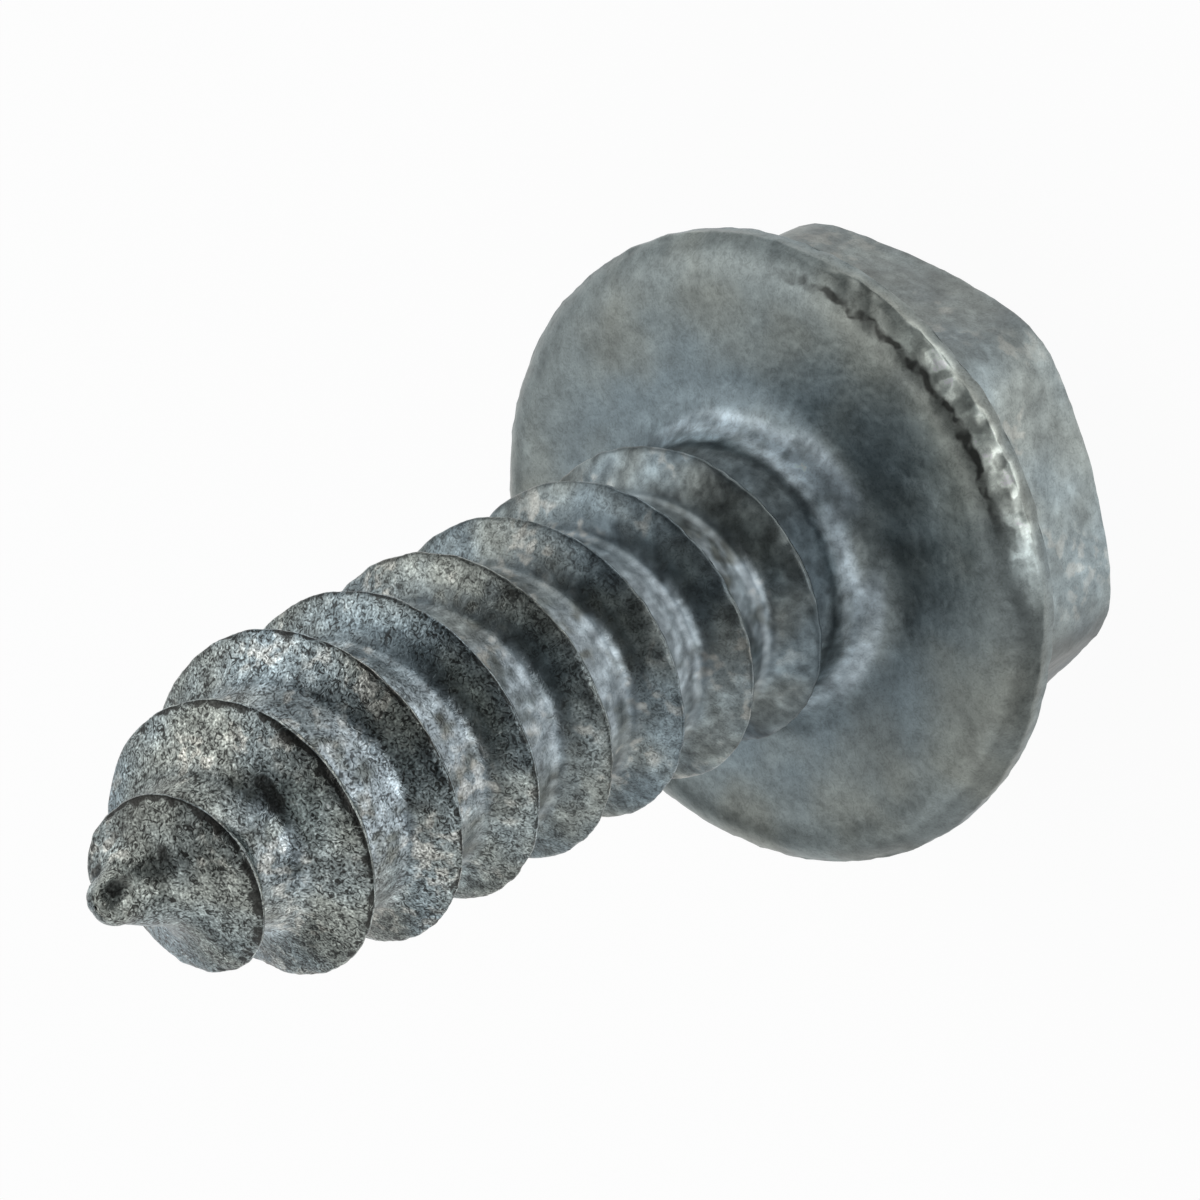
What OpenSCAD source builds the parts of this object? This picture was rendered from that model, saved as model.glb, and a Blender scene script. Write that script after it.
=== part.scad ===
// Hex washer head tapping screw, cold headed and thread rolled from one piece of steel.
// It stands on its head with the point up: origin at the middle of the head's flat top,
// +Z along the shank towards the point, millimetres.

/* [Head] */
// Width of the hexagon across its flats
hex_af = 7.65; // [6.5:0.05:10]
// Height from the head's top to the bearing face
head_h = 3.7; // [2:0.05:6]
// Radius on the six upright corners
corner_r = 1.2; // [0.3:0.1:1.8]
// Width of the chamfer round the head's top
chamfer_w = 0.35; // [0.1:0.05:0.8]
// Slope of that chamfer against the top
chamfer_angle = 30; // [15:1:45]

/* [Washer] */
// How far the washer reaches past the flats
flange_w = 1.07; // [0.8:0.01:2]
// Thickness at the rim
washer_t = 0.85; // [0.5:0.05:1.5]
// How far the bevel round the bearing face reaches in
bevel_w = 0.4; // [0.1:0.05:0.6]
// Share of the rim's thickness that the bevel takes
bevel_part = 0.5; // [0.2:0.05:0.7]
// How much the washer thickens towards the hexagon
back_rise = 0.25; // [0.05:0.05:0.5]

/* [Neck] */
// How far the plain neck stands out from thread root towards the crest
neck_part = 0.4; // [0.2:0.05:0.8]
// Radius where the neck runs out into the bearing face
fillet_r = 0.75; // [0.3:0.05:0.9]
// Length of the cone from the neck down to the thread root
neck_cone = 0.6; // [0.3:0.05:1.5]

/* [Thread] */
// Diameter over the crests
thread_d = 4.8; // [4:0.05:6.4]
// Depth from crest to root
thread_depth = 0.625; // [0.35:0.025:0.85]
// Distance from one crest to the next
pitch = 1.6; // [1.2:0.05:2.6]
// Width of the flat along the crest
crest_w = 0.1; // [0.04:0.01:0.2]
// Angle between the two flanks
flank_angle = 60; // [40:1:70]
// Height of the crest above the bearing face where the thread starts
start_h = 0.38; // [0.2:0.01:0.8]
// Turns over which the thread rises out of the neck
run_in = 0.5; // [0.25:0.05:1]
// Turns over which it runs out at the point
run_out = 0.45; // [0.3:0.05:1]
// How much higher the thread stands on one side of the point, as a share of its depth
proud = 0.55; // [0:0.05:0.8]
// Direction of that side round the axis
proud_side = 275; // [0:5:355]

/* [Point] */
// Length from the bearing face to the end of the point
shank_len = 14.1; // [9:0.05:40]
// Length of the tapered part
point_len = 3.7; // [2:0.05:6]
// Diameter of the blunt end
tip_d = 0.8; // [0.4:0.05:1.6]
// Height of the blunt end's dome
tip_h = 0.4; // [0.1:0.05:0.8]

/* [Hidden] */
$fn = 96;

hex_r = hex_af / 2;
washer_r = hex_r + flange_w;
root_r = thread_d / 2 - thread_depth;
neck_r = root_r + neck_part * thread_depth;
tip_r = tip_d / 2;

// Heights on the head, from its top
rim_z = head_h - washer_t;
back_z = rim_z - back_rise;
edge = washer_t / 5;
corner_c = (hex_r - corner_r) / cos(30);
outer = 2 * hex_r;

// One turn of the thread is cut into this many steps, and both its ends keep a little of its depth
steps = 60;
end_part = 0.03;
end_half = crest_w / 2 + thread_depth * sqrt(end_part) * tan(flank_angle / 2);
dome_rings = 4;
ring_h = shank_len - tip_h;
last = floor(steps * (ring_h - end_half - 0.03 - start_h) / pitch);

// Core radius at a height above the bearing face, a slightly rounded cone at the point
function along_point(h) = max(0, min(1, (h - shank_len + point_len) / (point_len - tip_h)));
function core(h) = root_r - (root_r - tip_r) * pow(along_point(h), 1.05);

// Share of the full thread depth at step n
function rise(n) = min(1, end_part + n / (run_in * steps));
function fall(n) = min(1, end_part + (last - n) / (run_out * steps));
function proud_part(n) = max(0, cos(360 * n / steps - proud_side)) * along_point(crest_h(n));
function thread_h(n) = thread_depth * rise(n) * sqrt(fall(n)) * (1 + proud * proud_part(n));
function half_w(n) = min(0.48 * pitch, crest_w / 2 + thread_h(n) * tan(flank_angle / 2));

// Points across the thread at step n: foot, crest, crest, foot
function at(n, r, h) = [r * cos(360 * n / steps), r * sin(360 * n / steps), head_h + h];
function crest_h(n) = start_h + pitch * n / steps;
function foot_h(n, side) = crest_h(n) + side * half_w(n);
function foot_point(n, side) = at(n, core(foot_h(n, side)), foot_h(n, side));
function crest_point(n, side) =
    at(n, core(crest_h(n)) + thread_h(n), crest_h(n) + side * crest_w / 2);
function across(n) = [
    foot_point(n, -1),
    crest_point(n, -1),
    crest_point(n, 1),
    foot_point(n, 1)
];

// Places of the points in the list: thread, ring inside the washer, rings of the tip's dome, two centres
function v(n, k) = 4 * n + k;
function low(n) = 4 * (last + 1) + (n % steps);
function dome(q, n) = 4 * (last + 1) + steps * (q + 1) + (n % steps);
function top(n) = dome(0, n);
low_mid = 4 * (last + 1) + steps * (dome_rings + 1);
top_mid = low_mid + 1;

function quad(a, b, c, d) = [[a, b, c], [a, c, d]];

shank_points = concat(
    [for (n = [0:last]) each across(n)],
    [for (n = [0:steps - 1]) at(n, root_r, -washer_t / 2)],
    [for (q = [0:dome_rings - 1], n = [0:steps - 1])
        at(n, tip_r * cos(90 * q / dome_rings), ring_h + tip_h * sin(90 * q / dome_rings))],
    [[0, 0, head_h - washer_t / 2], [0, 0, head_h + shank_len]]
);

first_foot = v(steps, 0);
before = v(steps - 1, 0);
last_foot = v(last - steps, 3);
after = v(last - steps + 1, 3);

shank_faces = concat(
    // Both flanks and the crest
    [for (n = [0:last - 1], k = [0:2]) each quad(v(n, k), v(n, k + 1), v(n + 1, k + 1), v(n + 1, k))],
    // Root between one turn and the next
    [for (n = [0:last - steps - 1])
        each quad(v(n, 3), v(n + steps, 0), v(n + steps + 1, 0), v(n + 1, 3))],
    // Core under the first turn, closed where the thread starts
    [for (n = [0:steps - 2]) each quad(low(n), v(n, 0), v(n + 1, 0), low(n + 1))],
    [[before, low(0), low(steps - 1)], [before, v(0, 0), low(0)]],
    [[before, v(0, 3), v(0, 0)], [before, first_foot, v(0, 3)]],
    quad(v(0, 0), v(0, 3), v(0, 2), v(0, 1)),
    // Core above the last turn, closed where the thread ends
    [for (n = [last - steps + 1:last - 1]) each quad(v(n, 3), top(n), top(n + 1), v(n + 1, 3))],
    [[after, top(last), top(last + 1)], [after, v(last, 3), top(last)]],
    [[after, v(last, 0), v(last, 3)], [after, last_foot, v(last, 0)]],
    quad(v(last, 0), v(last, 1), v(last, 2), v(last, 3)),
    // Dome and both ends
    [for (q = [0:dome_rings - 2], n = [0:steps - 1])
        each quad(dome(q, n), dome(q + 1, n), dome(q + 1, n + 1), dome(q, n + 1))],
    [for (n = [0:steps - 1]) [low_mid, low(n), low(n + 1)]],
    [for (n = [0:steps - 1]) [top_mid, dome(dome_rings - 1, n + 1), dome(dome_rings - 1, n)]]
);

module hexagon() {
    // Flats joined by round corners
    for (a = [0:60:300]) {
        rotate(a) {
            translate([corner_c, 0]) circle(r = corner_r);
        }
    }
    polygon([
        for (a = [0:60:300], s = [-30, 30])
            corner_c * [cos(a), sin(a)] + corner_r * [cos(a + s), sin(a + s)]
    ]);
}

module hex_block() {
    chamfer_r = hex_r - chamfer_w;
    intersection() {
        linear_extrude(height = rim_z + washer_t / 2) hexagon();
        rotate_extrude() {
            polygon([
                [0, 0],
                [chamfer_r, 0],
                [outer, (outer - chamfer_r) * tan(chamfer_angle)],
                [outer, head_h + outer],
                [0, head_h + outer]
            ]);
        }
    }
}

module washer_and_neck() {
    neck_top = head_h + fillet_r;
    buried = 0.15;
    slope = (neck_r - root_r) / neck_cone;
    rotate_extrude() {
        difference() {
            polygon([
                [0, back_z],
                [hex_r - corner_r, back_z],
                [washer_r - edge, rim_z],
                [washer_r, rim_z + edge],
                [washer_r, head_h - bevel_part * washer_t],
                [washer_r - bevel_w, head_h],
                [neck_r + fillet_r, head_h],
                [neck_r + fillet_r, neck_top],
                [neck_r, neck_top],
                [root_r - buried, neck_top + neck_cone + buried / slope],
                [0, neck_top + neck_cone + buried / slope]
            ]);
            translate([neck_r + fillet_r, neck_top]) circle(r = fillet_r);
        }
    }
}

module threaded_shank() {
    polyhedron(points = shank_points, faces = shank_faces, convexity = 10);
}

module screw() {
    color([0.55, 0.57, 0.58]) {
        union() {
            hex_block();
            washer_and_neck();
            threaded_shank();
        }
    }
}

screw();
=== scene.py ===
import bpy
import math
from mathutils import Matrix, Vector


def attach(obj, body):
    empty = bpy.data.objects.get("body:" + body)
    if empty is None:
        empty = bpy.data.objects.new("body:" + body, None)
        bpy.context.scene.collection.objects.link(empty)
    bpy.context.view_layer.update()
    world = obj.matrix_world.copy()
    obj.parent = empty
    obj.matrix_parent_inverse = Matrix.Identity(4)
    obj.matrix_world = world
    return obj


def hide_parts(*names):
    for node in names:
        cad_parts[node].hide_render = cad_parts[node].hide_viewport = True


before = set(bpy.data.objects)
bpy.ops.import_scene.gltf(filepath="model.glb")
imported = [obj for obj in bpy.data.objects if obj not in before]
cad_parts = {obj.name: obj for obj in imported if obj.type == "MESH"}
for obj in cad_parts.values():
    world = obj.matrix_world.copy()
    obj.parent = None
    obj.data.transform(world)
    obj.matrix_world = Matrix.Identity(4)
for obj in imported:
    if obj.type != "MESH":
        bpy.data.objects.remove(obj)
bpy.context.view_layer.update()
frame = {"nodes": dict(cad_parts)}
print("frame loaded:", ", ".join(frame["nodes"]))

millimetre = 0.001
fullTurn = 2 * math.pi


class Wire:
    # a node's output that can stand in a sum: a + b adds a Math node to its tree
    def __init__(self, tree, socket):
        self.tree = tree
        self.socket = socket

    def math(self, operation, *others):
        return mathNode(self.tree, operation, self, *others)

    def __add__(self, other):
        return self.math("ADD", other)

    def __radd__(self, other):
        return self.math("ADD", other)

    def __sub__(self, other):
        return self.math("SUBTRACT", other)

    def __rsub__(self, other):
        return mathNode(self.tree, "SUBTRACT", other, self)

    def __mul__(self, other):
        return self.math("MULTIPLY", other)

    def __rmul__(self, other):
        return self.math("MULTIPLY", other)

    def __truediv__(self, other):
        return self.math("DIVIDE", other)

    def __rtruediv__(self, other):
        return mathNode(self.tree, "DIVIDE", other, self)

    def clamped(self):
        return self.math("MAXIMUM", 0).math("MINIMUM", 1)

    def between(self, low, high):
        # 0 below low, 1 above high, eased in between
        node = addNode(self.tree, "ShaderNodeMapRange", interpolation_type="SMOOTHSTEP")
        for name, value in (("Value", self), ("From Min", low), ("From Max", high)):
            feed(self.tree, value, node.inputs[name])
        return Wire(self.tree, node.outputs["Result"])


def addNode(tree, kind, **settings):
    node = tree.nodes.new(kind)
    for name, value in settings.items():
        setattr(node, name, value)
    return node


def feed(tree, value, socket):
    if isinstance(value, Wire):
        tree.links.new(value.socket, socket)
    else:
        socket.default_value = value


def mathNode(tree, operation, *values):
    node = addNode(tree, "ShaderNodeMath", operation=operation)
    for value, socket in zip(values, node.inputs):
        feed(tree, value, socket)
    return Wire(tree, node.outputs[0])


def noise(tree, place, scale, detail=2.0, roughness=0.5, distortion=0.0):
    node = addNode(tree, "ShaderNodeTexNoise")
    names = ("Vector", "Scale", "Detail", "Roughness", "Distortion")
    for name, value in zip(names, (place, scale, detail, roughness, distortion)):
        feed(tree, value, node.inputs[name])
    return Wire(tree, node.outputs[0])


def combine(tree, x, y, z):
    node = addNode(tree, "ShaderNodeCombineXYZ")
    for value, socket in zip((x, y, z), node.inputs):
        feed(tree, value, socket)
    return Wire(tree, node.outputs[0])


def separate(tree, place):
    node = addNode(tree, "ShaderNodeSeparateXYZ")
    feed(tree, place, node.inputs[0])
    return [Wire(tree, socket) for socket in node.outputs]


# Head: rings of points from the fillet's foot on the bearing face round to the middle of the top
headSizes = {          # millimetres
    "hexagon": 7.65,   # across the flats
    "height": 3.7,
    "cornerRadius": 1.2,
    "chamferWidth": 0.35,
    "chamferAngle": 30,
    "washerRadius": 4.89,
    "washerThickness": 0.85,
    "bevelWidth": 0.4,
    "bevelDrop": 0.425,
    "backRise": 0.25,
    "rimEdge": 0.17,
    "filletFoot": 2.775,
}
ringSteps = 252        # points round one turn, the same on head and shank
halfSide = math.radians(30)    # half of one side of the hexagon, seen from the axis


def hexagonRadius(angle):
    sizes = headSizes
    half = sizes["hexagon"] / 2
    corner = sizes["cornerRadius"]
    offset = (half - corner) / math.cos(halfSide)
    fromCorner = (math.degrees(angle) + 30) % 60 - 30
    lean = math.radians(abs(fromCorner))
    tangent = math.atan2(corner * math.sin(halfSide), offset + corner * math.cos(halfSide))
    if lean > tangent:
        return half / math.cos(halfSide - lean)
    return offset * math.cos(lean) + math.sqrt(corner ** 2 - (offset * math.sin(lean)) ** 2)


def roundedPath(corners):
    # every path gets as many points, so that neighbours can be joined
    arcSteps = 4
    path = []
    for i, (r, z, rounding, edge, steps) in enumerate(corners):
        here = Vector((r, z))
        if rounding:
            before = (Vector(corners[i - 1][:2]) - here).normalized()
            after = (Vector(corners[i + 1][:2]) - here).normalized()
            half = before.angle(after) / 2
            cut = rounding / math.tan(half)
            middle = here + (before + after).normalized() * (rounding / math.sin(half))
            start = here + before * cut - middle
            end = here + after * cut - middle
            for k in range(arcSteps + 1):
                outward = start.slerp(end, k / arcSteps).normalized()
                path.append((middle + outward * rounding, edge, 1))
            path[-1] = (path[-1][0], edge, steps)
        else:
            path.append((here, edge, steps))
    points = []
    for (a, edgeA, steps), (b, edgeB, _) in zip(path, path[1:]):
        for k in range(steps):
            part = k / steps
            points.append((a.lerp(b, part), edgeA + (edgeB - edgeA) * part))
    points.append((path[-1][0], path[-1][1]))
    return points


def headPath(angle):
    sizes = headSizes
    height = sizes["height"]
    wall = hexagonRadius(angle)
    rim = sizes["washerRadius"]
    rimHeight = height - sizes["washerThickness"]
    flatRadius = sizes["hexagon"] / 2 - sizes["chamferWidth"]
    innerRadius = sizes["hexagon"] / 2 - sizes["cornerRadius"]
    backEdge = rim - sizes["rimEdge"]
    backSlope = sizes["backRise"] / (backEdge - innerRadius)
    wallFoot = rimHeight - (backEdge - wall) * backSlope
    wallTop = (wall - flatRadius) * math.tan(math.radians(sizes["chamferAngle"]))
    return roundedPath([       # radius, height, rounding, edge wear, steps to the next corner
        (sizes["filletFoot"], height, 0, 0, 8),
        (rim - sizes["bevelWidth"], height, 0.9, 0.2, 4),
        (rim, height - sizes["bevelDrop"], 0.12, 1, 2),
        (rim, rimHeight + sizes["rimEdge"], 0.06, 1, 2),
        (backEdge, rimHeight, 0.06, 0.6, 4),
        (wall, wallFoot, 0.12, 0, 14),
        (wall, wallTop, 0.12, 0.7, 3),
        (flatRadius, 0, 0.1, 0.3, 12),
        (0, 0, 0, 0, 0),
    ])


def makeHead():
    rings = []
    for j in range(ringSteps):
        angle = fullTurn * j / ringSteps
        rings.append([((p.x * math.cos(angle), p.x * math.sin(angle), p.y), edge)
                      for p, edge in headPath(angle)])
    count = len(rings[0]) - 1                      # the last point is the shared middle of the top
    points = [place for ring in rings for place, _ in ring[:-1]]
    edges = [edge for ring in rings for _, edge in ring[:-1]]
    points.append((0, 0, 0))
    edges.append(0)
    middle = len(points) - 1
    faces = []
    for j in range(ringSteps):
        a = j * count
        b = (j + 1) % ringSteps * count
        for k in range(count - 1):
            faces.append((a + k, a + k + 1, b + k + 1, b + k))
        faces.append((a + count - 1, middle, b + count - 1))
    mesh = bpy.data.meshes.new("screw")
    mesh.from_pydata(points, [], faces)
    mesh.attributes.new("edge", "FLOAT", "POINT").data.foreach_set("value", edges)
    return mesh


# Shank: a grid bent round the axis, its rows following the thread, so that every crest is a clean line
shankSizes = {            # millimetres and turns
    "headHeight": 3.7,
    "rootRadius": 1.775,
    "neckRadius": 2.025,
    "filletRadius": 0.75,
    "neckCone": 0.6,
    "threadDepth": 0.625,
    "pitch": 1.6,
    "crestWidth": 0.1,
    "crestRounding": 0.12,
    "rootRounding": 0.3,
    "startHeight": 0.38,
    "runIn": 0.5,
    "runOut": 0.45,
    "lastTurn": 8.233,
    "proud": 0.55,        # how much higher the thread stands on one side of the point
    "proudSide": 275,     # degrees round the axis
    "shankLength": 14.1,
    "pointLength": 3.7,
    "tipRadius": 0.4,
    "tipHeight": 0.4,
}
shankRows = {
    "perTurn": 28,
    "firstTurn": -2,
    "turns": 11,
    "crowding": 0.7,      # how much the rows crowd towards the crest
}
flankSlope = 1 / math.tan(math.radians(30))     # each flank leans half of the thread's 60 degrees
pointCurve = 1.05         # how much the point bulges out from a plain cone
neckBlend = 0.08          # how softly the thread rises out of the neck, in millimetres


def storeMark(tree, geometry, name, value):
    node = addNode(tree, "GeometryNodeStoreNamedAttribute", data_type="FLOAT", domain="POINT")
    tree.links.new(geometry, node.inputs["Geometry"])
    node.inputs["Name"].default_value = name
    feed(tree, value, node.inputs["Value"])
    return node.outputs["Geometry"]


def storedMark(tree, name):
    node = addNode(tree, "GeometryNodeInputNamedAttribute", data_type="FLOAT")
    node.inputs["Name"].default_value = name
    return Wire(tree, node.outputs["Attribute"])


def shankNodes(tree, size):
    rows = shankRows["perTurn"] * shankRows["turns"]
    grid = addNode(tree, "GeometryNodeMeshGrid")
    grid.inputs["Size X"].default_value = 1
    grid.inputs["Size Y"].default_value = 1
    grid.inputs["Vertices X"].default_value = ringSteps + 1
    grid.inputs["Vertices Y"].default_value = rows + 1
    position = Wire(tree, addNode(tree, "GeometryNodeInputPosition").outputs[0])
    gridX, gridY, _ = separate(tree, position)
    turn = gridX + 0.5
    angle = turn * fullTurn
    row = (gridY + 0.5) * shankRows["turns"] + shankRows["firstTurn"]
    crowded = row - (row * fullTurn).math("SINE") * (shankRows["crowding"] / fullTurn)

    # length along the shank's outline, from the fillet's foot to the middle of the tip
    quarter = math.pi / 2
    ringHeight = size["shankLength"] - size["tipHeight"]
    foot = size["filletRadius"] * (1 - quarter)
    end = ringHeight + size["tipHeight"] * quarter
    along = size["startHeight"] + size["pitch"] * (turn + crowded)
    along = along.math("MAXIMUM", foot).math("MINIMUM", end)
    filletTurn = ((size["filletRadius"] - along) / (size["filletRadius"] * quarter)).clamped() * quarter
    domeTurn = ((along - ringHeight) / (size["tipHeight"] * quarter)).clamped() * quarter
    aboveFillet = (along.math("MINIMUM", ringHeight) - size["filletRadius"]).math("MAXIMUM", 0)
    height = size["filletRadius"] * (1 - filletTurn.math("SINE")) + aboveFillet
    height = height + size["tipHeight"] * domeTurn.math("SINE")

    # core with its point and dome, and the neck with its fillet and cone
    tapered = size["pointLength"] - size["tipHeight"]
    point = ((height - size["shankLength"] + size["pointLength"]) / tapered).clamped()
    core = size["rootRadius"] - (size["rootRadius"] - size["tipRadius"]) * point.math("POWER", pointCurve)
    core = core * domeTurn.math("COSINE")
    coneSlope = (size["neckRadius"] - size["rootRadius"]) / size["neckCone"]
    neck = size["neckRadius"] + size["filletRadius"] * (1 - filletTurn.math("COSINE"))
    neck = neck - coneSlope * aboveFillet

    # thread: full depth but for its run-in and run-out
    nearest = (row + 0.5).math("FLOOR")
    threadTurn = turn + nearest
    rise = (threadTurn / size["runIn"]).clamped()
    fall = ((size["lastTurn"] - threadTurn) / size["runOut"]).clamped().math("SQRT")
    crestHeight = size["startHeight"] + size["pitch"] * threadTurn
    crestPoint = crestHeight - size["shankLength"] + size["pointLength"]
    towardsSide = (angle - size["proudSide"] * math.radians(1)).math("COSINE").math("MAXIMUM", 0)
    share = rise * fall * (1 + size["proud"] * towardsSide * (crestPoint / tapered).clamped())
    offCrest = size["pitch"] * (crowded - nearest).math("ABSOLUTE")
    fullHeight = size["threadDepth"] * share
    flank = fullHeight - (offCrest - size["crestWidth"] / 2) * flankSlope
    ridge = flank.math("SMOOTH_MAX", 0, size["rootRounding"] * share)
    ridge = ridge.math("SMOOTH_MIN", fullHeight, size["crestRounding"] * share)
    radius = (core + ridge).math("SMOOTH_MAX", neck, neckBlend)

    # marks for the finish are kept while the grid still lies flat, then it takes its shape
    sheet = grid.outputs["Mesh"]
    sheet = storeMark(tree, sheet, "crest", (ridge / fullHeight).clamped() * share.between(0.05, 0.3))
    sheet = storeMark(tree, sheet, "shank", ((along - foot) / (size["filletRadius"] - foot)).clamped())
    sheet = storeMark(tree, sheet, "tipSide", share * (crowded * fullTurn).math("SINE"))
    bend = addNode(tree, "GeometryNodeSetPosition")
    tree.links.new(sheet, bend.inputs["Geometry"])
    feed(tree, combine(tree, radius * angle.math("COSINE"), radius * angle.math("SINE"),
                       size["headHeight"] + height), bend.inputs["Position"])
    return bend.outputs["Geometry"]


# Wear in the shape, cut inwards from the clean outline
wear = {                  # depth in millimetres, grain in features a millimetre
    "dentDepth": 0.045, "dentGrain": 0.7,
    "pitDepth": 0.008, "pitGrain": 4.5,
    "rimDepth": 0.03, "rimGrain": 2.6,
    "nickDepth": 0.024, "nickGrain": 2.4,        # along the thread's crest
    "tipDepth": 0.04, "tipGrain": 1.9, "tipFrom": 16.9, "tipTo": 17.5,
    "grooveRadius": 4.53, "grooveWidth": 0.06, "grooveDepth": 0.035,
    "beadDepth": 0.05, "beadGrain": 3.6,
    "wander": 0.14, "wanderGrain": 2.6,          # how the groove strays from its circle
    "grooveMiddle": 303, "grooveReach": 40,      # degrees round the washer
    "beadMiddle": 286, "beadReach": 28,
    "beadsFrom": (4.5, 4.6),                     # distance from the axis
    "washerFrom": (2.9, 3.2),                    # height
    "onCrest": (0.75, 1),                        # share of the thread's depth
    "chips": (            # place and radius, depth
        ((0.13, -0.21, 17.63), 0.24, 0.06),
        ((0.3, 0.32, 17.27), 0.14, 0.09),
    ),
    "topClear": 0.25,     # height over which it fades out towards the flat top that the screw stands on
}


def axisDistance(tree, place):
    x, y, _ = separate(tree, place)
    return (x * x + y * y).math("SQRT")


def towards(tree, place, direction):
    # how far a place lies out in one direction round the axis
    x, y, _ = separate(tree, place)
    return x * math.cos(math.radians(direction)) + y * math.sin(math.radians(direction))


def arc(tree, place, middle, reach):
    # 1 along an arc round the axis, with soft ends
    lean = towards(tree, place, middle) / axisDistance(tree, place)
    return lean.between(math.cos(math.radians(reach)), math.cos(math.radians(reach / 2)))


def offGroove(tree, place, radius):
    wander = (noise(tree, place, wear["wanderGrain"], 2, 0.6) - 0.5) * 2 * wear["wander"]
    return (radius + wander - wear["grooveRadius"]).math("ABSOLUTE")


def distanceTo(tree, place, point):
    node = addNode(tree, "ShaderNodeVectorMath", operation="DISTANCE")
    feed(tree, place, node.inputs[0])
    node.inputs[1].default_value = point
    return Wire(tree, node.outputs["Value"])


def wearNodes(tree, geometry):
    place = Wire(tree, addNode(tree, "GeometryNodeInputPosition").outputs[0])
    _, _, height = separate(tree, place)
    edge = storedMark(tree, "edge")
    crest = storedMark(tree, "crest").between(*wear["onCrest"])
    dents = noise(tree, place, wear["dentGrain"], 1.5) * wear["dentDepth"]
    pits = noise(tree, place, wear["pitGrain"], 3, 0.6).between(0.35, 0.75) * wear["pitDepth"]
    rim = noise(tree, place, wear["rimGrain"], 2, 0.6).between(0.3, 0.7) * wear["rimDepth"] * edge
    nicks = noise(tree, place, wear["nickGrain"], 2, 0.6).between(0.35, 0.7) * wear["nickDepth"] * crest
    tip = noise(tree, place, wear["tipGrain"], 2, 0.55).between(0.3, 0.7) * wear["tipDepth"]
    tip = tip * height.between(wear["tipFrom"], wear["tipTo"])
    radius = axisDistance(tree, place)
    grooveArc = arc(tree, place, wear["grooveMiddle"], wear["grooveReach"])
    beadArc = arc(tree, place, wear["beadMiddle"], wear["beadReach"])
    groove = (1 - offGroove(tree, place, radius) / wear["grooveWidth"]).between(0, 1) * wear["grooveDepth"]
    beads = noise(tree, place, wear["beadGrain"], 1).between(0.35, 0.65) * wear["beadDepth"]
    beads = beads * radius.between(*wear["beadsFrom"]) * (grooveArc + beadArc).clamped()
    washerWear = (groove * grooveArc + beads) * height.between(*wear["washerFrom"])
    depth = dents + pits + rim + nicks + tip + washerWear
    for point, reach, deep in wear["chips"]:
        depth = depth + (1 - distanceTo(tree, place, point) / reach).between(0, 1) * deep
    depth = depth * height.between(0, wear["topClear"])
    normal = addNode(tree, "GeometryNodeInputNormal")
    push = addNode(tree, "ShaderNodeVectorMath", operation="SCALE")
    tree.links.new(normal.outputs[0], push.inputs[0])
    feed(tree, depth * -1, push.inputs["Scale"])
    carve = addNode(tree, "GeometryNodeSetPosition")
    tree.links.new(geometry, carve.inputs["Geometry"])
    tree.links.new(push.outputs[0], carve.inputs["Offset"])
    return carve.outputs["Geometry"]


weldDistance = 0.0003     # millimetres


def screwTree(finish):
    tree = bpy.data.node_groups.new("screwShape", "GeometryNodeTree")
    tree.interface.new_socket("Geometry", in_out="INPUT", socket_type="NodeSocketGeometry")
    tree.interface.new_socket("Geometry", in_out="OUTPUT", socket_type="NodeSocketGeometry")
    for name in shankSizes:
        tree.interface.new_socket(name, in_out="INPUT", socket_type="NodeSocketFloat")
    groupIn = addNode(tree, "NodeGroupInput")
    groupOut = addNode(tree, "NodeGroupOutput")
    size = {name: Wire(tree, groupIn.outputs[name]) for name in shankSizes}
    shank = shankNodes(tree, size)
    join = addNode(tree, "GeometryNodeJoinGeometry")
    tree.links.new(groupIn.outputs["Geometry"], join.inputs[0])
    tree.links.new(shank, join.inputs[0])
    weld = addNode(tree, "GeometryNodeMergeByDistance")
    tree.links.new(join.outputs[0], weld.inputs["Geometry"])
    weld.inputs["Distance"].default_value = weldDistance
    smooth = addNode(tree, "GeometryNodeSetShadeSmooth")
    tree.links.new(wearNodes(tree, weld.outputs[0]), smooth.inputs["Geometry"])
    scale = addNode(tree, "GeometryNodeTransform")
    tree.links.new(smooth.outputs[0], scale.inputs["Geometry"])
    scale.inputs["Scale"].default_value = (millimetre,) * 3
    realize = addNode(tree, "GeometryNodeRealizeInstances")
    tree.links.new(scale.outputs[0], realize.inputs[0])
    paint = addNode(tree, "GeometryNodeSetMaterial")
    tree.links.new(realize.outputs[0], paint.inputs["Geometry"])
    paint.inputs["Material"].default_value = finish
    tree.links.new(paint.outputs[0], groupOut.inputs[0])
    return tree


def makeScrew(finish):
    tree = screwTree(finish)
    screw = bpy.data.objects.new("hexWasherScrew", makeHead())
    bpy.context.scene.collection.objects.link(screw)
    shape = screw.modifiers.new("shape", "NODES")
    for socket in tree.interface.items_tree:
        if socket.in_out == "INPUT" and socket.name in shankSizes:
            socket.default_value = shankSizes[socket.name]
    shape.node_group = tree
    for socket in tree.interface.items_tree:
        if socket.in_out == "INPUT" and socket.name in shankSizes:
            shape[socket.identifier] = shankSizes[socket.name]
    bpy.context.view_layer.update()
    evaluated = screw.evaluated_get(bpy.context.evaluated_depsgraph_get())
    mesh = bpy.data.meshes.new_from_object(evaluated)
    screw.modifiers.remove(shape)
    screw.data = mesh
    triangles = sum(len(face.vertices) - 2 for face in mesh.polygons)
    print("screw made:", len(mesh.vertices), "points,", triangles, "triangles")
    return screw


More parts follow.
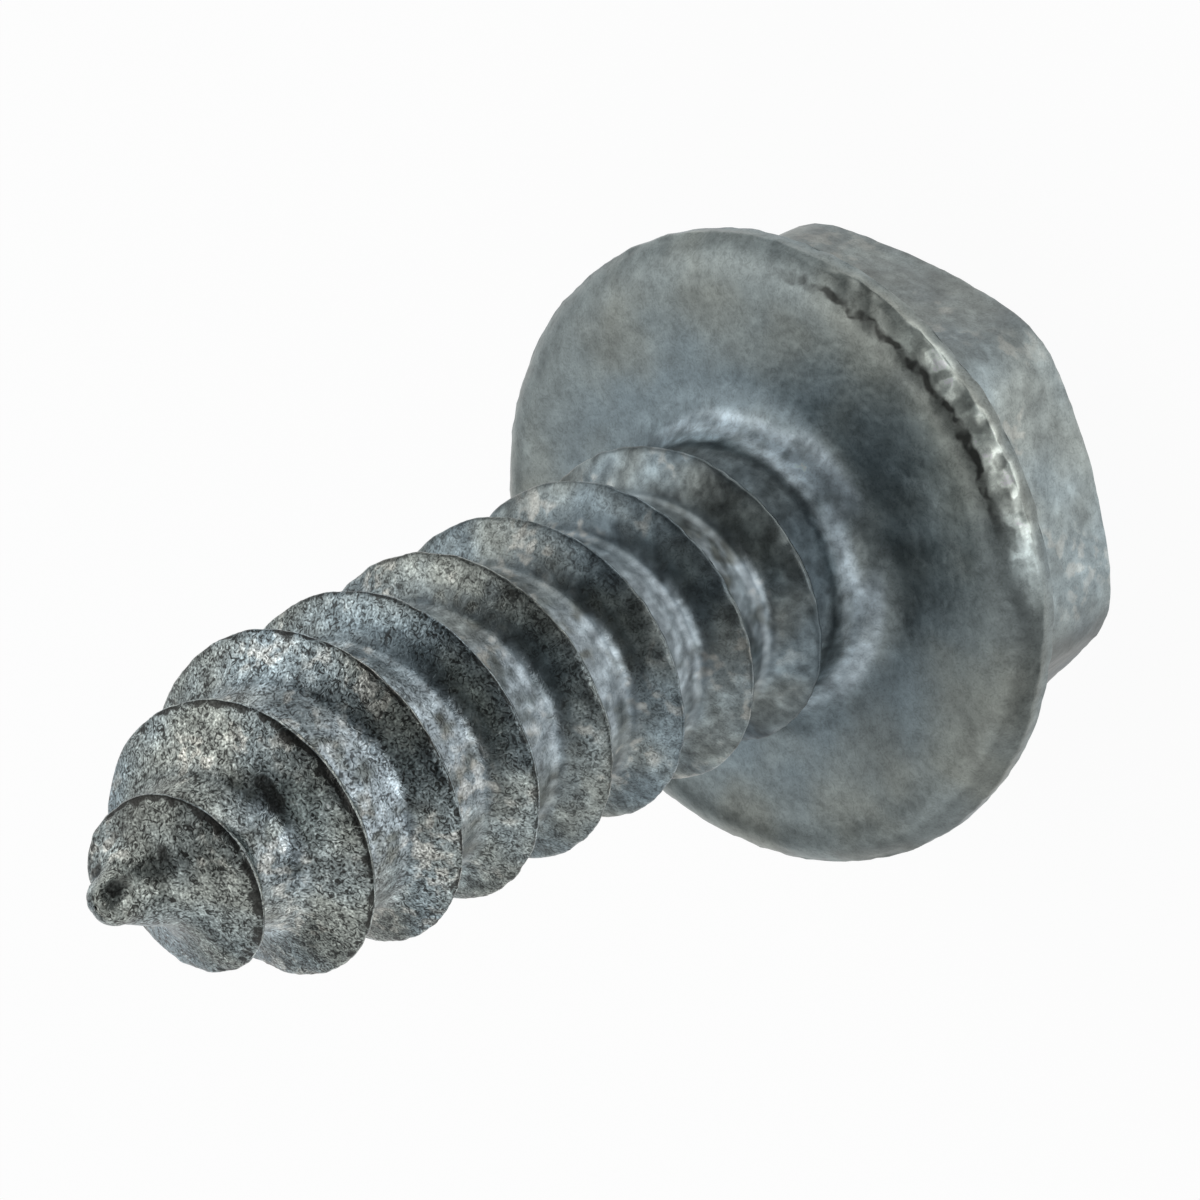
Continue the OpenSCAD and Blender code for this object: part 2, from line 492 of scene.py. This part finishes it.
# Zinc plate: dull and aged, with fine dark lines towards the point, smoother in the roots and on the head
zinc = {
    "cool": (0.222, 0.272, 0.295, 1),
    "warm": (0.27, 0.288, 0.265, 1),
    # dark bluish colour of real stains, also used for painted shade at the flank feet and round the neck
    "stainAndShade": (0.075, 0.1, 0.118, 1),
    # dark colour for the specks, smears and the band near the crests, also for painted shade in the groove
    "darkTone": (0.03, 0.029, 0.027, 1),
    # pale colour of rubbed zinc, also the colour of the painted highlights
    "burnishAndSheen": (0.41, 0.475, 0.515, 1),
    "beige": (0.44, 0.41, 0.36, 1),
    "noises": {            # features a millimetre, detail, roughness, distortion
        "tint": (0.55, 2, 0.5, 0),
        "stains": (0.95, 3, 0.55, 0),
        "mottle": (1.7, 2, 0.75, 0),
        "patches": (4.5, 1, 0.6, 0),
        "flecks": (10.5, 1, 0.6, 2),
        "dust": (30, 0, 0.5, 0),
    },
    "heights": {           # millimetres above the head's top, where something begins and where it is full
        "hexagonEnd": (2.3, 2.6),
        "washerTint": (3, 3.3),
        "washer": (3.1, 3.3),
        "smooth": (4.4, 5.5),
        "thread": (4.9, 5.5),
        "beige": (5, 6),
        "lessCool": (5, 11),
        "flecks": (5, 14.5),
        "footFrom": (5.5, 7.5),
        "darkTone": (7, 13),
        "rootFlecks": (11, 14),
        "point": (12.5, 15),
        "footEnd": (12.8, 14.2),
        "lessStain": (13, 15),
        "darkerPoint": (13.5, 15),
        "rootEnd": (15, 16.4),
    },
    "mottleContrast": 2.4, "patchContrast": 2.8, "fleckContrast": 1.3, "dustContrast": 2.8,    # in stops
    "fleckMiddle": 0.42,   # tone of the flecks that stays as it is
    # the bead stops lighten the bead tops as a painted highlight
    "shankStops": -0.3, "beadHighlightStops": 1,
    "headShare": 0.12,     # share of the flecks that the head shows
    "speckShare": 0.8,     # how dark the specks between the flecks are
    # the neck share is painted shade round the neck, and the stain share also carries painted shade at the
    # flank feet
    # the rubbed share also paints highlights in the roots and the fillet
    "stainAndShadeShare": 0.5, "neckShadeShare": 0.65, "rubbedAndSheenShare": 0.95, "beigeShare": 0.42,
    # the groove share is painted shade in the groove
    # the line share is a painted glint beside the crests
    "glintShare": 0.6, "grooveShadeShare": 0.85,
    "paintedSideShades": (             # painted light and shade on the sides of the hexagon: which way they face, how much lighter they are in stops
        (330, -0.35), (210, -1.05), (270, 0.4),
    ),
    "sideReach": (34, 26),                       # degrees off its middle where a shade begins and is full
    "sideStray": 0.12,     # how ragged its border is
    "headRoughness": 0.43, "shankRoughness": 0.37,
    "mottleRoughness": 0.3, "rubbedRoughness": -0.05,
    "bumpDepth": 0.000006,
    "crestMarkSide": 300,      # the band near the crests is darkest on this side, and the painted glint and the painted shade at the flank feet are strongest here
    "warmSide": 260,       # the point is warmest in colour on this one
    "rootHighlightSide": 276,     # and the painted highlights in the roots are brightest here
    "filletLights": (      # painted highlights, partly real burnish: bright arcs in the fillet: middle and reach in degrees, from, to, stops
        (340, 52, 0.3, 0.95, 0.4),
        (303, 22, 0.15, 0.75, 0.3),
        (264, 34, 0.5, 0.95, 0),
        (234, 34, 0.2, 0.75, 0),
        (120, 110, 0.3, 0.9, 0),
    ),
    "filletEase": 0.2,     # how softly these end
    "smears": (            # middle and half sizes in millimetres, turn about the axis, strength
        ((0.62, -1.2, 15.36), (0.46, 0.14, 0.2), 28, 0.85),
        ((0.38, -0.66, 16.9), (0.22, 0.15, 0.2), 28, 0.8),
        ((0.8, -0.2, 16.85), (0.5, 0.45, 0.4), 0, 0.45),
        ((0.17, -0.21, 17.5), (0.2, 0.13, 0.26), 0, 0.75),
        ((0.31, 0.33, 17.25), (0.12, 0.16, 0.07), 0, 0.8),
    ),
    "paintedShades": (            # painted light and shade: lighter and darker places on the washer and the point, strength in stops
        ((0.75, -3.75, 3.7), (1.8, 1.1, 0.8), 0, 0.7),
        ((-2.6, -1.4, 3.7), (1.6, 1.4, 0.8), 0, -0.5),
        ((0.9, -0.9, 16.7), (1, 1, 0.5), 0, -0.6),
        ((0.2, -1.85, 15.1), (1.1, 0.6, 0.6), 0, 0.7),
        ((1.35, -1.05, 14.15), (0.8, 0.8, 0.5), 0, -0.7),
    ),
    "paintedBevelShades": (       # painted light and shade round the washer's bevel: middle and reach, strength in stops
        (288, 34, 0.7), (216, 44, -0.55),
    ),
    "bevelFrom": (4.5, 4.64), "beadsFrom": (4.52, 4.64),     # distance from the axis
    "grooveShadeHalfWidth": 0.08,   # half width of the painted shade in the groove
    "glintOffset": 0.04, "glintWidth": 0.06,       # painted glint: a thin bright line beside the crest
}


def smear(tree, place, middle, halfSizes, turn):
    onto = addNode(tree, "ShaderNodeMapping", vector_type="TEXTURE")
    onto.inputs["Location"].default_value = middle
    onto.inputs["Rotation"].default_value = (0, 0, math.radians(turn))
    onto.inputs["Scale"].default_value = halfSizes
    feed(tree, place, onto.inputs["Vector"])
    return 1 - distanceTo(tree, Wire(tree, onto.outputs[0]), (0, 0, 0))


def mixed(tree, share, colourA, colourB):
    node = addNode(tree, "ShaderNodeMix", data_type="RGBA")
    for socket, value in ((0, share), (6, colourA), (7, colourB)):
        feed(tree, value, node.inputs[socket])
    return Wire(tree, node.outputs[2])


def mark(tree, name):
    return Wire(tree, addNode(tree, "ShaderNodeAttribute", attribute_name=name).outputs["Fac"])


def lighten(tree, colour, stops):
    node = addNode(tree, "ShaderNodeVectorMath", operation="SCALE")
    tree.links.new(colour.socket, node.inputs[0])
    feed(tree, mathNode(tree, "POWER", 2, stops), node.inputs["Scale"])
    return Wire(tree, node.outputs[0])


def zincTint(tree, place, noises, above, radius, shank):
    # from cool to warm: by noise, warmer on one side of the point, cooler near the neck
    tint = noises["tint"].between(0.35, 0.65)
    tint = 0.5 + (tint - 0.5) * (0.5 + 0.5 * shank)
    warmer = 0.15 + 0.4 * towards(tree, place, zinc["warmSide"]) / radius
    tint = tint + warmer * above["point"] - 0.25 * shank * (1 - above["lessCool"])
    tint = tint + (radius.between(2.4, 4.6) - 0.6) * 0.7 * (1 - shank) * above["washerTint"]
    return tint.clamped()


def filletLight(tree, place, shank):
    # painted highlights in the fillet, partly real burnish
    light = 0
    lightStops = 0
    ease = zinc["filletEase"]
    for middle, reach, low, high, stops in zinc["filletLights"]:
        band = shank.between(low, low + ease) * (1 - shank.between(high - ease, high))
        band = band * arc(tree, place, middle, reach)
        light = light + band
        lightStops = lightStops + band * stops
    return light.clamped(), lightStops


def placedStops(tree, place, noises, above, radius, onHexagon):
    # lighter and darker places that the photograph shows: sides of the hexagon, washer, point, bevel
    # all of these are painted light and shade, with painted highlights on the bead tops
    total = 0
    begins, full = (math.cos(math.radians(reach)) for reach in zinc["sideReach"])
    # painted light and shade on the sides of the hexagon, with ragged borders
    for direction, stops in zinc["paintedSideShades"]:
        lean = towards(tree, place, direction) / radius + (noises["mottle"] - 0.5) * zinc["sideStray"]
        total = total + lean.between(begins, full) * onHexagon * stops
    # painted light and shade on the washer and the point
    for middle, halfSizes, turn, stops in zinc["paintedShades"]:
        total = total + smear(tree, place, middle, halfSizes, turn).between(0, 1) * stops
    # painted light and shade round the washer's bevel
    for middle, reach, stops in zinc["paintedBevelShades"]:
        onBevel = arc(tree, place, middle, reach) * above["washer"] * radius.between(*zinc["bevelFrom"])
        total = total + onBevel * stops
    # painted highlights on the bead tops along the washer's rim
    beads = noise(tree, place, wear["beadGrain"], 1) - (noises["patches"] - 0.5) * 0.4
    beads = (1 - beads.between(0.42, 0.56)) * arc(tree, place, wear["beadMiddle"], wear["beadReach"])
    return total + beads * above["washer"] * radius.between(*zinc["beadsFrom"]) * zinc["beadHighlightStops"]


def zincFinish():
    finish = bpy.data.materials.new("zincPlate")
    finish.use_nodes = True
    tree = finish.node_tree
    shader = tree.nodes["Principled BSDF"]
    coordinates = addNode(tree, "ShaderNodeTexCoord")
    toMillimetres = addNode(tree, "ShaderNodeMapping")
    toMillimetres.inputs["Scale"].default_value = (1 / millimetre,) * 3
    tree.links.new(coordinates.outputs["Object"], toMillimetres.inputs["Vector"])
    place = Wire(tree, toMillimetres.outputs[0])
    height = separate(tree, place)[2]
    radius = axisDistance(tree, place)
    crest, tipSide, shank = (mark(tree, name) for name in ("crest", "tipSide", "shank"))
    above = {name: height.between(*ends) for name, ends in zinc["heights"].items()}
    noises = {name: noise(tree, place, *settings) for name, settings in zinc["noises"].items()}
    mottle = noises["mottle"]
    stains = noises["stains"]
    patches = noises["patches"]
    flecks = noises["flecks"]
    onHexagon = (1 - above["hexagonEnd"]) * radius.between(3.5, 3.7)

    # places rubbed smooth and painted with highlights: thread roots, brightest on one side, and arcs in the
    # fillet
    root = (1 - crest).between(0.75, 1) * above["thread"] * (1 - above["rootEnd"])
    rootHighlightSide = 0.3 + 0.7 * (towards(tree, place, zinc["rootHighlightSide"]) / radius).between(0.72, 0.97)
    fillet, filletStops = filletLight(tree, place, shank)
    rubbedAndSheen = root * rootHighlightSide * mottle.between(0.32, 0.52)
    rubbedAndSheen = rubbedAndSheen + fillet * (0.6 + 0.4 * mottle.between(0.35, 0.55))

    # stains, and painted shade at the foot of the flanks and round the neck
    flankFootShade = crest.between(0.02, 0.12) * (1 - crest.between(0.3, 0.55)) * tipSide.between(0, 0.2)
    flankFootShade = flankFootShade * (towards(tree, place, zinc["crestMarkSide"]) / radius).between(0.3, 0.9)
    flankFootShade = flankFootShade * above["footFrom"] * (1 - above["footEnd"]) * patches.between(0.25, 0.55)
    stainedAndShaded = stains.between(0.58, 0.72) * shank.between(0.3, 1) * (1 - 0.7 * above["lessStain"])
    stainedAndShaded = (stainedAndShaded + flankFootShade).clamped()
    # painted shade round the neck, between the fillet and the thread
    neck = shank.between(0.45, 0.75) * (1 - above["thread"]) * (1 - fillet)
    beige = (1 - stains).between(0.5, 0.62) * patches.between(0.46, 0.6)
    beige = beige * (above["beige"] + onHexagon * 0.6)
    tint = zincTint(tree, place, noises, above, radius, shank)
    colour = mixed(tree, tint, zinc["cool"], zinc["warm"])
    colour = mixed(tree, stainedAndShaded * zinc["stainAndShadeShare"], colour, zinc["stainAndShade"])
    colour = mixed(tree, neck * zinc["neckShadeShare"], colour, zinc["stainAndShade"])
    colour = mixed(tree, rubbedAndSheen * zinc["rubbedAndSheenShare"], colour, zinc["burnishAndSheen"])
    colour = mixed(tree, beige * zinc["beigeShare"], colour, zinc["beige"])

    # light flecks with dark specks between them
    fine = zinc["headShare"] + (1 - zinc["headShare"]) * above["flecks"]
    fine = fine * (1 - (root + flankFootShade).clamped() * (0.7 - 0.45 * above["rootFlecks"]))
    stops = (flecks.between(0.36, 0.58) - zinc["fleckMiddle"]) * zinc["fleckContrast"]
    stops = (stops + (noises["dust"] - 0.5) * zinc["dustContrast"]) * fine
    stops = stops + (mottle - 0.5) * zinc["mottleContrast"] * (0.6 + 0.4 * (shank + onHexagon))
    coarse = (0.3 + 0.7 * shank) * (1 - 0.25 * above["point"])
    stops = stops + (patches - 0.5) * zinc["patchContrast"] * coarse
    stops = stops + shank * zinc["shankStops"] + filletStops
    stops = stops + placedStops(tree, place, noises, above, radius, onHexagon)
    colour = lighten(tree, colour, stops)
    specks = (1 - (flecks + (patches - 0.5) * 0.25).between(0.32, 0.46)) * fine
    colour = mixed(tree, specks * zinc["speckShare"], colour, zinc["darkTone"])

    # a darker band that thickens towards the crests, with a painted glint on them: a thin bright line
    ragged = (flecks - 0.5) + (patches - 0.5) * 2
    crestMarkSide = (towards(tree, place, zinc["crestMarkSide"]) / radius).between(-0.3, 0.8)
    nearCrest = (crest + 0.05 * above["darkerPoint"]).between(0.8, 1.1) * tipSide.between(0, 0.08)
    darkTone = (nearCrest * (0.4 + 0.6 * crestMarkSide) + ragged).between(0.5, 0.65) * crest.between(0.5, 0.8)
    colour = mixed(tree, darkTone * (0.2 + 0.72 * above["darkTone"]), colour, zinc["darkTone"])
    # painted glint: a thin bright line beside the crests
    crestGlint = 1 - (tipSide + zinc["glintOffset"]).math("ABSOLUTE") / zinc["glintWidth"]
    crestGlint = crestGlint.between(0, 1) * crest.between(0.9, 1)
    colour = mixed(tree, crestGlint * crestMarkSide * zinc["glintShare"], colour, zinc["burnishAndSheen"])

    # smears, and painted shade in the groove round the washer
    for middle, halfSizes, turn, strength in zinc["smears"]:
        spot = (smear(tree, place, middle, halfSizes, turn) + ragged * 0.9).between(0.05, 0.4)
        colour = mixed(tree, spot * strength, colour, zinc["darkTone"])
    # painted shade in the groove round the washer
    groove = (1 - offGroove(tree, place, radius) / zinc["grooveShadeHalfWidth"]).between(0, 0.7)
    groove = groove * (0.4 + 0.6 * patches.between(0.4, 0.56)) * above["washer"]
    groove = groove * arc(tree, place, wear["grooveMiddle"], wear["grooveReach"])
    colour = mixed(tree, groove * zinc["grooveShadeShare"], colour, zinc["darkTone"])
    tree.links.new(colour.socket, shader.inputs["Base Color"])

    smoother = zinc["shankRoughness"] - zinc["headRoughness"]
    roughness = zinc["headRoughness"] + smoother * above["smooth"]
    roughness = roughness + (mottle - 0.5) * zinc["mottleRoughness"] + rubbedAndSheen * zinc["rubbedRoughness"]
    tree.links.new(roughness.socket, shader.inputs["Roughness"])
    shader.inputs["Metallic"].default_value = 1
    bump = addNode(tree, "ShaderNodeBump")
    bump.inputs["Distance"].default_value = zinc["bumpDepth"]
    feed(tree, flecks * above["flecks"] + patches * 2, bump.inputs["Height"])
    tree.links.new(bump.outputs[0], shader.inputs["Normal"])
    print("zinc finish made")
    return finish


# Camera: where the photograph was taken from, in the frame of the part
shot = {
    "place": (0.01752616, -0.05630943, 0.06773963),
    "right": (-0.258146, -0.743311, -0.617130),
    "up": (0.944940, -0.061286, -0.321452),
    "back": (0.201117, -0.666133, 0.718205),
    "lens": 179.46,
    "clip": (0.005, 10),
}


def makeCamera():
    camera = bpy.data.objects.new("camera", bpy.data.cameras.new("camera"))
    bpy.context.scene.collection.objects.link(camera)
    turned = Matrix([shot["right"], shot["up"], shot["back"]]).transposed().to_4x4()
    camera.matrix_world = Matrix.Translation(shot["place"]) @ turned
    camera.data.lens = shot["lens"]
    camera.data.clip_start, camera.data.clip_end = shot["clip"]
    bpy.context.scene.camera = camera
    print("camera placed")


# Studio: a white floor, soft boxes round the far side and a paler horizon, with no light from above
studio = {
    "boxDistance": 0.25,
    "boxes": (         # azimuth, elevation, half width in degrees, light on a surface that faces it
        (65, 52, 38, 1.75),
        (20, 40, 25, 0.45),
        (175, 37, 30, 0.9),
        (256, 25, 16, 0.5),
    ),
    "sky": (0.86, 0.95, 1, 1),
    "horizon": 0.5,
    "overhead": 0.1,
    "skyFade": (0.05, 0.35),
    "floorColour": (0.9, 0.9, 0.9, 1),
    "floorRoughness": 0.9,
    "floorGlow": 0.95,
    "floorSide": 3.0,
}


def makeBoxes():
    distance = studio["boxDistance"]
    for i, (azimuth, elevation, half, light) in enumerate(studio["boxes"]):
        lamp = bpy.data.lights.new(f"softBox{i}", "AREA")
        lamp.shape = "DISK"
        lamp.size = 2 * distance * math.tan(math.radians(half))
        lamp.energy = light * math.pi * distance ** 2
        box = bpy.data.objects.new(lamp.name, lamp)
        bpy.context.scene.collection.objects.link(box)
        across = math.cos(math.radians(elevation))
        toBox = Vector((math.cos(math.radians(azimuth)) * across,
                        math.sin(math.radians(azimuth)) * across,
                        math.sin(math.radians(elevation))))
        box.location = toBox * distance
        box.rotation_euler = toBox.to_track_quat("Z", "Y").to_euler()
    print("soft boxes placed:", len(studio["boxes"]))


def makeWorld():
    world = bpy.data.worlds.new("studio")
    bpy.context.scene.world = world
    world.use_nodes = True
    tree = world.node_tree
    background = tree.nodes["Background"]
    background.inputs["Color"].default_value = studio["sky"]
    coordinates = addNode(tree, "ShaderNodeTexCoord")
    _, _, up = separate(tree, Wire(tree, coordinates.outputs["Generated"]))
    strength = studio["horizon"] + (studio["overhead"] - studio["horizon"]) * up.between(*studio["skyFade"])
    tree.links.new(strength.socket, background.inputs["Strength"])


def makeFloor():
    half = studio["floorSide"] / 2
    mesh = bpy.data.meshes.new("floor")
    corners = [(-half, -half, 0), (half, -half, 0), (half, half, 0), (-half, half, 0)]
    mesh.from_pydata(corners, [], [(0, 1, 2, 3)])
    floor = bpy.data.objects.new("floor", mesh)
    bpy.context.scene.collection.objects.link(floor)
    paper = bpy.data.materials.new("whitePaper")
    paper.use_nodes = True
    tree = paper.node_tree
    matt = tree.nodes["Principled BSDF"]
    matt.inputs["Base Color"].default_value = studio["floorColour"]
    matt.inputs["Roughness"].default_value = studio["floorRoughness"]
    glow = addNode(tree, "ShaderNodeEmission")
    path = addNode(tree, "ShaderNodeLightPath")
    rays = ("Is Camera Ray", "Is Glossy Ray", "Is Transmission Ray")
    share = sum(Wire(tree, path.outputs[name]) for name in rays).clamped() * studio["floorGlow"]
    mix = addNode(tree, "ShaderNodeMixShader")
    feed(tree, share, mix.inputs[0])
    tree.links.new(matt.outputs[0], mix.inputs[1])
    tree.links.new(glow.outputs[0], mix.inputs[2])
    tree.links.new(mix.outputs[0], tree.nodes["Material Output"].inputs["Surface"])
    mesh.materials.append(paper)
    print("floor laid")


bpy.context.scene.view_settings.view_transform = "Standard"
makeCamera()
makeWorld()
makeBoxes()
makeFloor()
screw = makeScrew(zincFinish())
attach(screw, "root")
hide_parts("screw")
